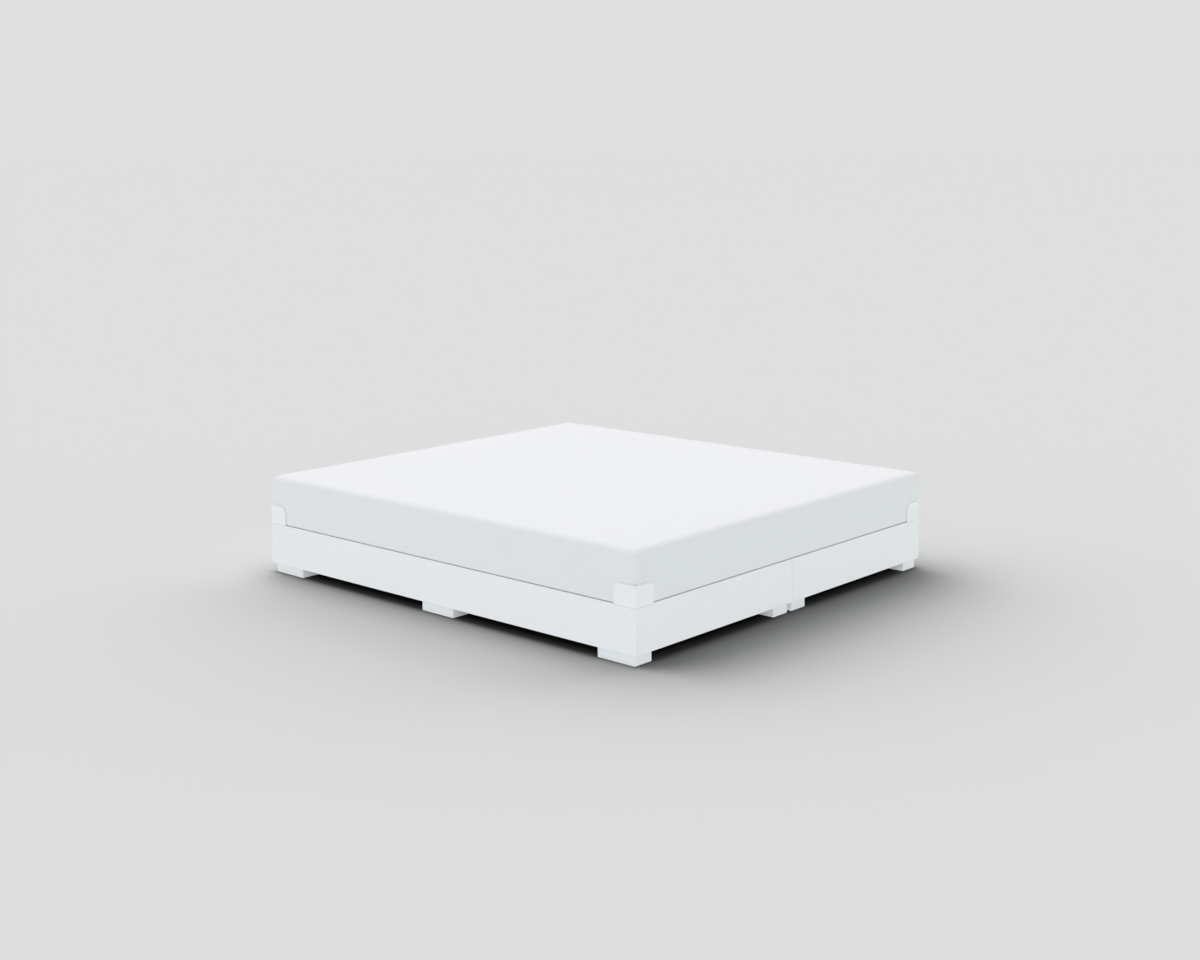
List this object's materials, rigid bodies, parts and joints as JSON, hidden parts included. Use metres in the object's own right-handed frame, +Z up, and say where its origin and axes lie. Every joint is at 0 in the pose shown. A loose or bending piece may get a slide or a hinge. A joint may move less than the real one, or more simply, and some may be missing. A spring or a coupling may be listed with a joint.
{
  "type": "family bed",
  "caption": "Low white platform bed: slatted bases joined side by side on block feet, with one wide mattress between corner stops.",
  "frame": {"origin": "on the floor, under the middle of the bed's box", "axes": "+X across the two bases towards the right one, +Y along the bed towards its back end, +Z up"},
  "size_m": [2.008, 2.208, 0.4473],
  "materials": {
    "mattress_fabric": "smooth white stretch knit",
    "base_cloth": "grey-white non-woven cloth",
    "foam": null,
    "comfort_foam": null,
    "white_lacquer": "board with satin white lacquer",
    "white_foot": "wood block with satin white lacquer",
    "white_plate": "white powder coat, fine satin",
    "plain_wood": "sawn softwood, unfinished",
    "slat_wood": "planed softwood, unfinished",
    "tape": "woven cotton tape",
    "felt": "pressed grey felt",
    "screw_steel": "zinc-plated steel"
  },
  "bodies": {
    "base": {"left_outer_side_rail": "white_lacquer", "left_inner_side_rail": "white_lacquer", "left_front_end_rail": "white_lacquer", "left_back_end_rail": "white_lacquer", "left_cross_rail": "plain_wood", "left_foot_blocks": "plain_wood", "left_corner_posts": "plain_wood", "left_outer_ledge": "plain_wood", "left_inner_ledge": "plain_wood", "left_slats": "slat_wood", "left_slat_tapes": "tape", "left_outer_front_foot": "white_foot", "left_outer_middle_foot": "white_foot", "left_outer_back_foot": "white_foot", "left_inner_front_foot": "white_foot", "left_inner_middle_foot": "white_foot", "left_inner_back_foot": "white_foot", "left_glides": "felt", "left_front_corner_stop": "white_plate", "left_back_corner_stop": "white_plate", "left_stop_screws": "screw_steel", "left_foot_screws": "screw_steel", "left_frame_screws": "screw_steel", "left_ledge_screws": "screw_steel", "left_slat_screws": "screw_steel", "left_cross_rail_screws": "screw_steel", "right_outer_side_rail": "white_lacquer", "right_inner_side_rail": "white_lacquer", "right_front_end_rail": "white_lacquer", "right_back_end_rail": "white_lacquer", "right_cross_rail": "plain_wood", "right_foot_blocks": "plain_wood", "right_corner_posts": "plain_wood", "right_outer_ledge": "plain_wood", "right_inner_ledge": "plain_wood", "right_slats": "slat_wood", "right_slat_tapes": "tape", "right_outer_front_foot": "white_foot", "right_outer_middle_foot": "white_foot", "right_outer_back_foot": "white_foot", "right_inner_front_foot": "white_foot", "right_inner_middle_foot": "white_foot", "right_inner_back_foot": "white_foot", "right_glides": "felt", "right_front_corner_stop": "white_plate", "right_back_corner_stop": "white_plate", "right_stop_screws": "screw_steel", "right_foot_screws": "screw_steel", "right_frame_screws": "screw_steel", "right_ledge_screws": "screw_steel", "right_slat_screws": "screw_steel", "right_cross_rail_screws": "screw_steel", "connector_bolts": "screw_steel", "connector_nuts": "screw_steel", "connector_washers": "screw_steel"},
    "mattress": {"mattress_cover": "mattress_fabric", "mattress_base_cloth": "base_cloth", "mattress_core": "foam", "mattress_comfort_layer": "comfort_foam"}
  },
  "joints": [
    {"name": "mattress_lift", "type": "slide", "parent": "base", "child": "mattress", "axis": [0, 0, 1], "range_m": [0, 0.25]}
  ]
}
